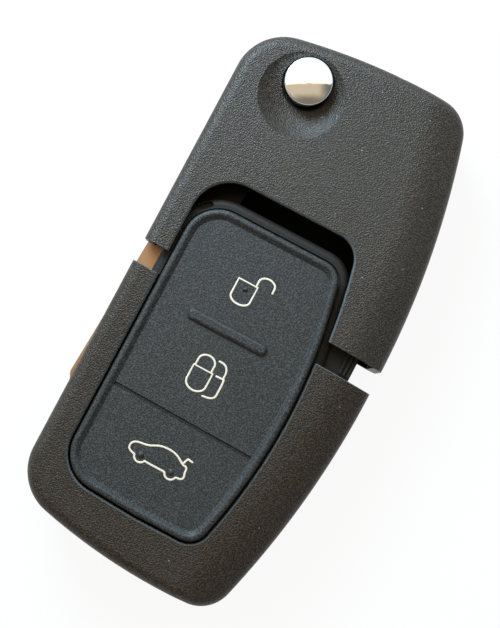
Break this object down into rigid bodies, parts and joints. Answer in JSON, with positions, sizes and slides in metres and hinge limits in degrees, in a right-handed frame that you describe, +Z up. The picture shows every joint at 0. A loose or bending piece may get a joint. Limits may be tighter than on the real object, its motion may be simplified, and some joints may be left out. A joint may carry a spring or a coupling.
{
  "type": "key fob shell",
  "caption": "Flip key fob shell with a folding blade, a chrome release button, a rubber keypad and a remote case that slides out of the head.",
  "frame": {"origin": "under the middle of the fob's bounds, on the surface that its back rests on, with the remote case at rest 3.35 mm out of the head", "axes": "+Z up out of the button face, +Y along the fob towards the head, +X across it away from the folded blade"},
  "size_m": [0.0395, 0.08, 0.017],
  "materials": {
    "shell_plastic": "fine moulded grain",
    "hub_plastic": "smooth moulded",
    "pad_rubber": "soft satin",
    "chrome": "polished",
    "blade_steel": "satin nickel",
    "steel": "plain",
    "dark_steel": "blackened"
  },
  "bodies": {
    "head": {"head_front_shell": "shell_plastic", "head_rear_shell": "shell_plastic", "head_screws": "dark_steel", "keyring_bar": "steel", "spring_cup": "steel", "flip_spring": "steel"},
    "blade": {"blade_hub": "hub_plastic", "key_blade": "blade_steel", "blade_pin": "steel"},
    "release_button": {"button_core": "hub_plastic", "button_cap": "chrome"},
    "remote": {"remote_front_shell": "shell_plastic"},
    "remote_cover": {"remote_rear_shell": "shell_plastic"},
    "pad": {"keypad": "pad_rubber"}
  },
  "joints": [
    {"name": "blade_flip", "type": "hinge", "parent": "head", "child": "blade", "pos_m": [-0.00852, 0.0329, 0.00775], "axis": [0, 0, -1], "range_deg": [-3, 177]},
    {"name": "release_press", "type": "slide", "parent": "blade", "child": "release_button", "axis": [0, 0, -1], "range_m": [0, 0.0018], "stiffness_N_per_m": 300, "springref_m": -0.002, "deforming": ["flip_spring"]},
    {"name": "remote_slide", "type": "slide", "parent": "head", "child": "remote", "axis": [0, 1, 0], "range_m": [-0.018, 0.00335]},
    {"name": "keypad_press", "type": "slide", "parent": "remote", "child": "pad", "axis": [0, 0, -1], "range_m": [0, 0.0004], "stiffness_N_per_m": 1200, "springref_m": -0.0003},
    {"name": "rear_cover_lift", "type": "slide", "parent": "remote", "child": "remote_cover", "axis": [0, 0, -1], "range_m": [0, 0.012]}
  ]
}
